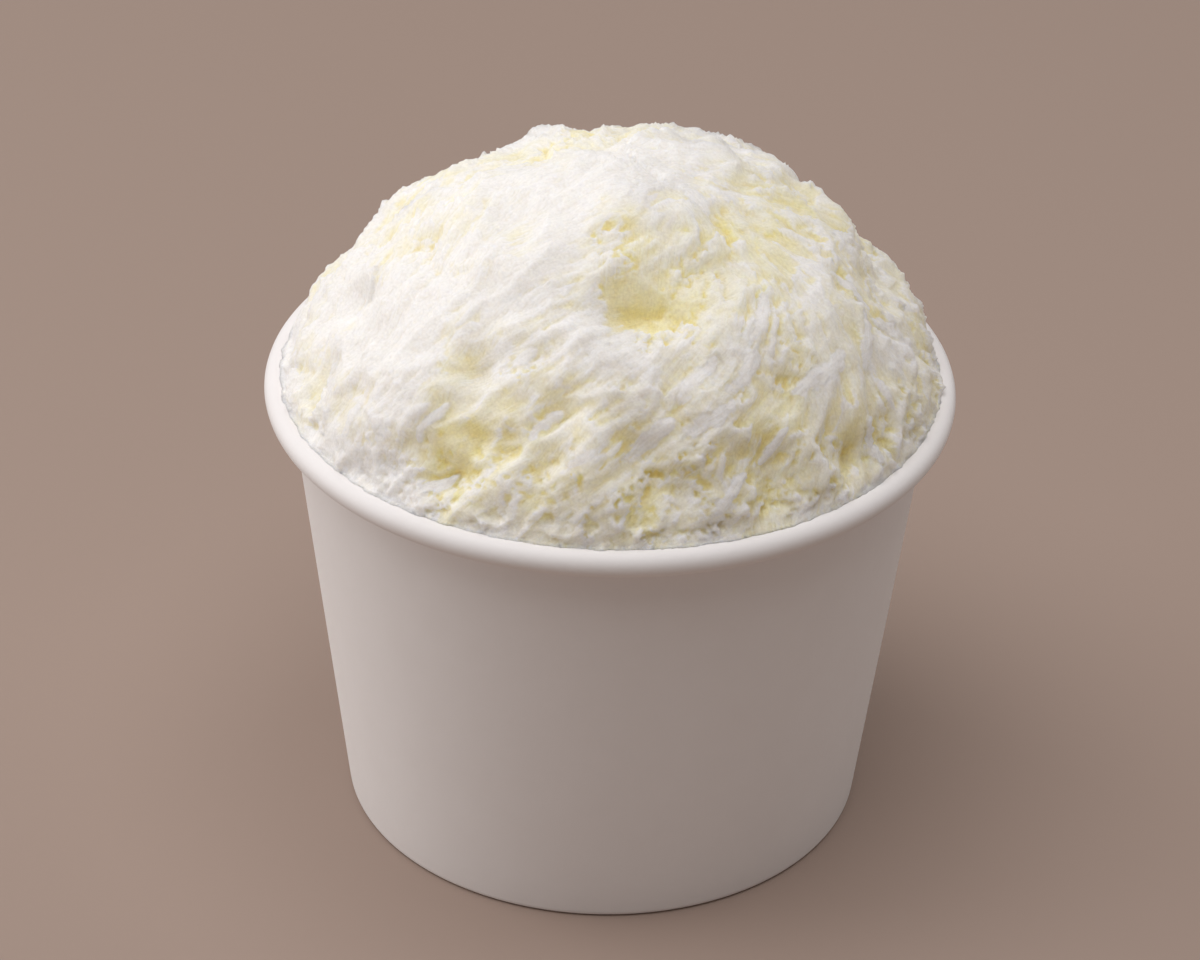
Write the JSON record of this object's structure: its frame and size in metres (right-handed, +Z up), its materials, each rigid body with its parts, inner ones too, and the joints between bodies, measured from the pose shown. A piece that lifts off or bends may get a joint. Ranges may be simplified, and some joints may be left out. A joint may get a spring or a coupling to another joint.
{
  "type": "tub of frozen yogurt",
  "caption": "Plain white paper tub with a rolled rim, filled and heaped with a dome of snow-like shaved frozen yogurt.",
  "frame": {"origin": "centre of the tub's foot, on the surface it stands on", "axes": "+Z up along the tub's axis, -Y towards the front of the heap, +X to the right seen from the front"},
  "size_m": [0.096, 0.096, 0.1002],
  "materials": {
    "white_paper": "matte",
    "shaved_yogurt": "matte"
  },
  "bodies": {
    "root": {"cup_wall": "white_paper", "cup_base": "white_paper", "frozen_yogurt": "shaved_yogurt"}
  },
  "joints": []
}
